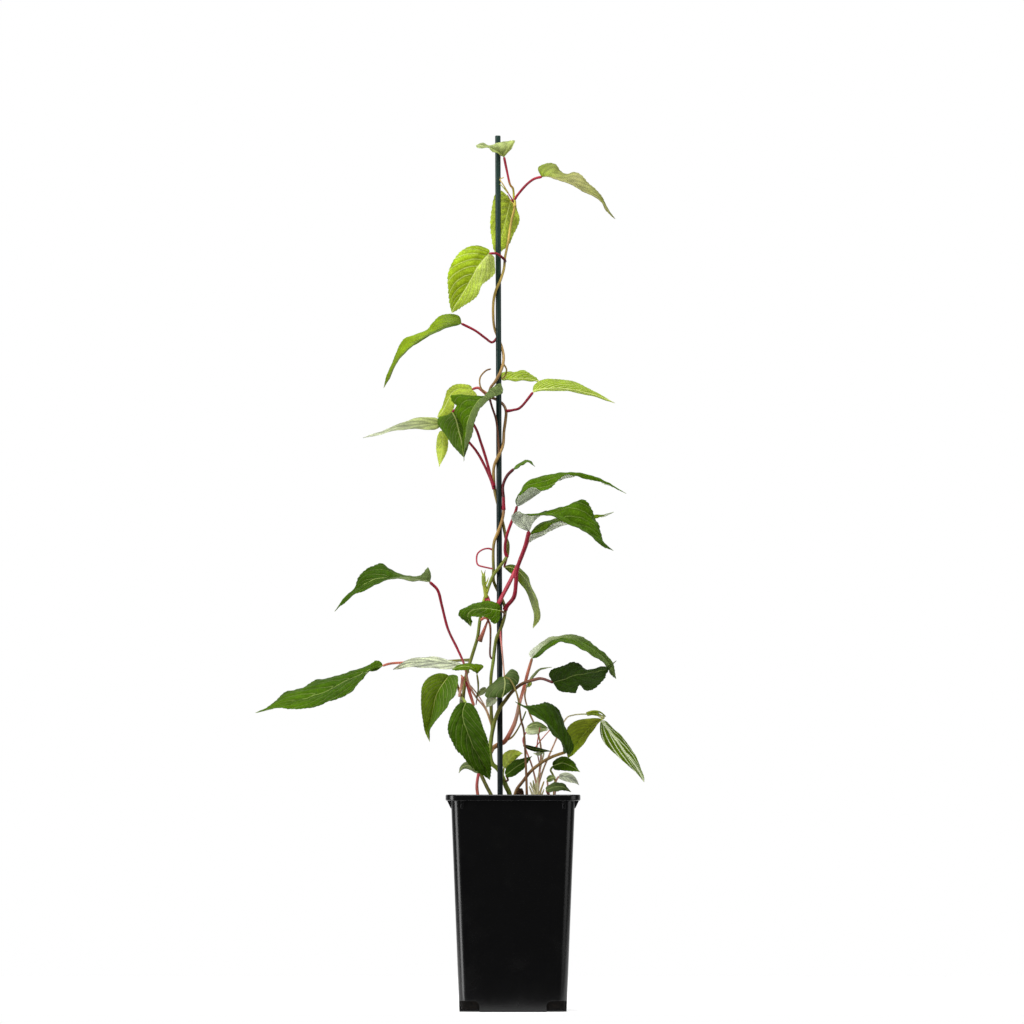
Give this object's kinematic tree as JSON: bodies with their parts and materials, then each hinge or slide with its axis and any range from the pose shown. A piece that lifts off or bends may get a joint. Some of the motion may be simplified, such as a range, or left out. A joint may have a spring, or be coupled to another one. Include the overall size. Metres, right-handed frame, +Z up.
{
  "type": "potted kiwi vine",
  "caption": "Young kiwi vine with pointed toothed leaves on red petioles, twining up a coated stake in a deep square black pot of soil.",
  "frame": {"origin": "the middle of the pot's underside, on the plane it rests on", "axes": "+Z up along the stake; +X to the right and -Y towards a viewer of the pictured side"},
  "size_m": [0.3884, 0.1338, 0.8753],
  "materials": {
    "pot": "satin black moulded",
    "soil": "loose, crumbly",
    "stake": "plastic coated",
    "bark": "rough",
    "stem_tan": "smooth living stem",
    "stem_olive": "smooth living stem",
    "stem_pink": "smooth living stem",
    "stem_brown": "smooth living stem",
    "stem_pale": "smooth living stem",
    "leaf_young": "soft, ribbed, translucent",
    "leaf_fresh": "soft, ribbed, translucent",
    "leaf_mature": "satin, ribbed",
    "leaf_pale": "matt pale underside"
  },
  "bodies": {
    "root": {"pot": "pot", "soil": "soil", "stake": "stake", "bark": "bark", "vine_main": "stem_tan", "vine_second": "stem_olive", "shoot_left": "stem_pink", "shoot_centre": "stem_brown", "shoot_arched": "stem_brown", "crown_pale": "stem_pale", "shoots_right": "stem_pale", "leaf_01": "leaf_young", "leaf_02": "leaf_young", "leaf_03": "leaf_young", "leaf_04": "leaf_young", "leaf_05": "leaf_fresh", "leaf_06": "leaf_young", "leaf_07": "leaf_fresh", "leaf_08": "leaf_young", "leaf_09": "leaf_mature", "leaf_10": "leaf_fresh", "leaf_11": "leaf_pale", "leaf_12": "leaf_young", "leaf_13": "leaf_mature", "leaf_14": "leaf_mature", "leaf_15": "leaf_mature", "leaf_16": "leaf_mature", "leaf_17": "leaf_fresh", "leaf_18": "leaf_mature", "leaf_19": "leaf_mature", "leaf_20": "leaf_mature", "leaf_21": "leaf_pale", "leaf_22": "leaf_mature", "leaf_23": "leaf_fresh", "leaf_24": "leaf_mature", "leaf_25": "leaf_fresh", "leaf_26": "leaf_fresh", "leaf_27": "leaf_pale", "leaf_28": "leaf_mature", "leaf_29": "leaf_mature", "leaf_30": "leaf_pale", "leaf_31": "leaf_mature", "leaf_32": "leaf_fresh", "leaf_33": "leaf_pale", "leaf_34": "leaf_pale", "leaf_35": "leaf_mature", "leaf_36": "leaf_young", "leaf_37": "leaf_mature", "leaf_38": "leaf_mature", "leaf_39": "leaf_pale", "leaf_40": "leaf_fresh", "leaf_41": "leaf_mature"}
  },
  "joints": []
}
